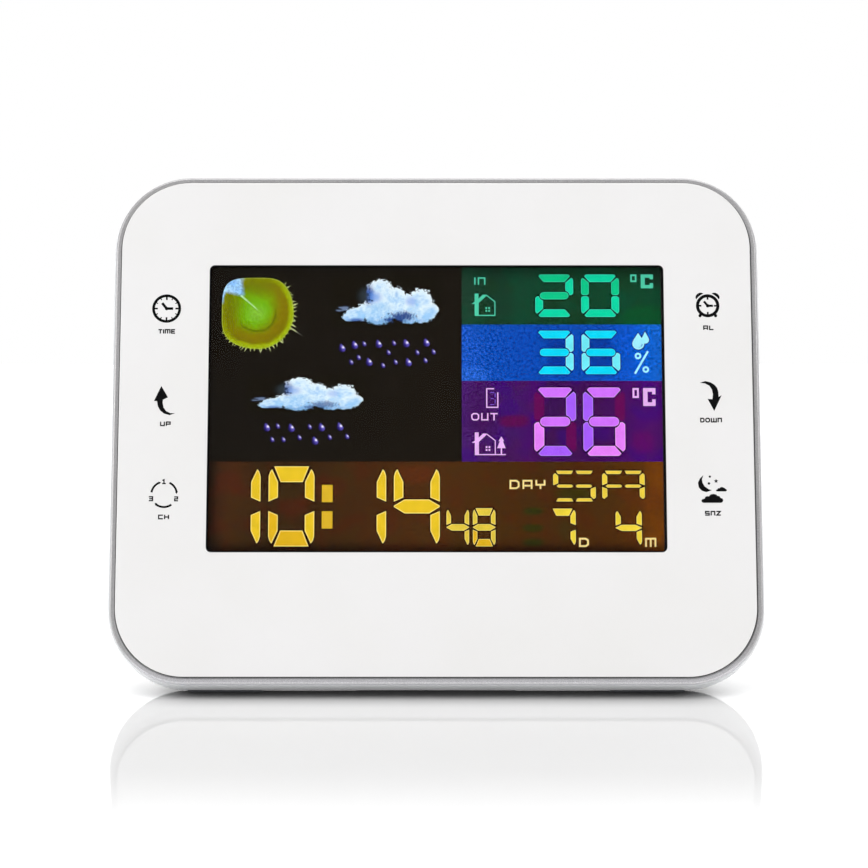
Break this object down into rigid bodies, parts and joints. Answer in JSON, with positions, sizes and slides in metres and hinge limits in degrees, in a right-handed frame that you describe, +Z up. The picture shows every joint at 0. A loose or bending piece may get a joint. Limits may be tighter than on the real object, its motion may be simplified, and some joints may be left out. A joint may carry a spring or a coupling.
{
  "type": "home weather station",
  "caption": "Leaning tabletop weather station: flat white panel with a colour display in a silver rim, rounded rear cover, fold-out stand leg, battery bay, wall keyhole.",
  "frame": {"origin": "middle of the object's bounding box at table height, with the stand leg open", "axes": "+X to the right seen from the front, +Y to the back, +Z up; the panel faces -Y and leans back"},
  "size_m": [0.1926, 0.0574, 0.1508],
  "materials": {
    "panel_white": "high gloss back of white acrylic",
    "window_clear": "clear acrylic, polished",
    "tape_black": "foam tape",
    "frame_silver": "satin silver paint on moulded plastic",
    "display_glass": "dark liquid crystal glass",
    "film_colour": "printed film",
    "film_white": "matt white film",
    "guide_clear": "clear acrylic",
    "foil_white": "white reflector",
    "board_white": "white solder mask",
    "led_white": "white diode bodies",
    "zebra_rubber": "striped rubber",
    "tray_white": "moulded",
    "screw_steel": "zinc plated",
    "board_green": "green solder mask",
    "spring_steel": "nickel plated",
    "cable_white": "flat cable",
    "epoxy_black": "epoxy",
    "module_can": "tinned can on board",
    "aerial_copper": "enamelled copper wire",
    "capacitor_sleeve": "sleeve",
    "part_black": "moulded",
    "sensor_white": "moulded",
    "pin_brass": "plated",
    "cover_white": "moulded white, semi-gloss",
    "rubber_grey": "moulded",
    "cell_sleeve": "plain printed sleeve",
    "lead_red": "insulated wire",
    "pin_steel": "ground",
    "button_grey": "moulded"
  },
  "bodies": {
    "housing": {"front_panel": "panel_white", "window_lens": "window_clear", "panel_tape": "tape_black", "silver_frame": "frame_silver", "lcd_glass": "display_glass", "colour_film": "film_colour", "diffuser_film": "film_white", "light_guide": "guide_clear", "reflector_sheet": "foil_white", "backlight_board": "board_white", "backlight_leds": "led_white", "lcd_connector": "zebra_rubber", "lcd_carrier": "tray_white", "carrier_screws": "screw_steel", "touch_board_left": "board_green", "touch_board_right": "board_green", "touch_springs": "spring_steel", "touch_cables": "cable_white", "main_board": "board_green", "board_screws": "screw_steel", "controller_cap": "epoxy_black", "receiver_module": "module_can", "receiver_antenna": "aerial_copper", "capacitors": "capacitor_sleeve", "buzzer": "part_black", "air_sensor": "sensor_white", "power_jack": "part_black", "jack_pin": "pin_brass", "reset_switch": "part_black", "dimmer_body": "part_black", "rear_cover": "cover_white", "case_screws": "screw_steel", "base_feet": "rubber_grey", "battery_cells": "cell_sleeve", "battery_springs": "spring_steel", "battery_leads": "lead_red", "battery_plates": "spring_steel", "stand_pin": "pin_steel"},
    "leg": {"stand_leg": "cover_white", "stand_foot": "rubber_grey"},
    "door": {"battery_door": "cover_white"},
    "reset": {"reset_button": "button_grey"},
    "dimmer": {"dimmer_knob": "button_grey"}
  },
  "joints": [
    {"name": "stand_hinge", "type": "hinge", "parent": "housing", "child": "leg", "pos_m": [0, 0.0075, 0.06788], "axis": [1, 0, 0], "range_deg": [-30.66, 0]},
    {"name": "door_hinge", "type": "hinge", "parent": "housing", "child": "door", "pos_m": [-0.0558, 0.00253, 0.03926], "axis": [-1, 0, 0], "range_deg": [0, 90]},
    {"name": "reset_press", "type": "slide", "parent": "housing", "child": "reset", "axis": [0, -0.9744, 0.225], "range_m": [0, 0.0005], "stiffness_N_per_m": 300, "springref_m": -0.0005},
    {"name": "dimmer_slide", "type": "slide", "parent": "housing", "child": "dimmer", "axis": [1, 0, 0], "range_m": [0, 0.004]}
  ]
}
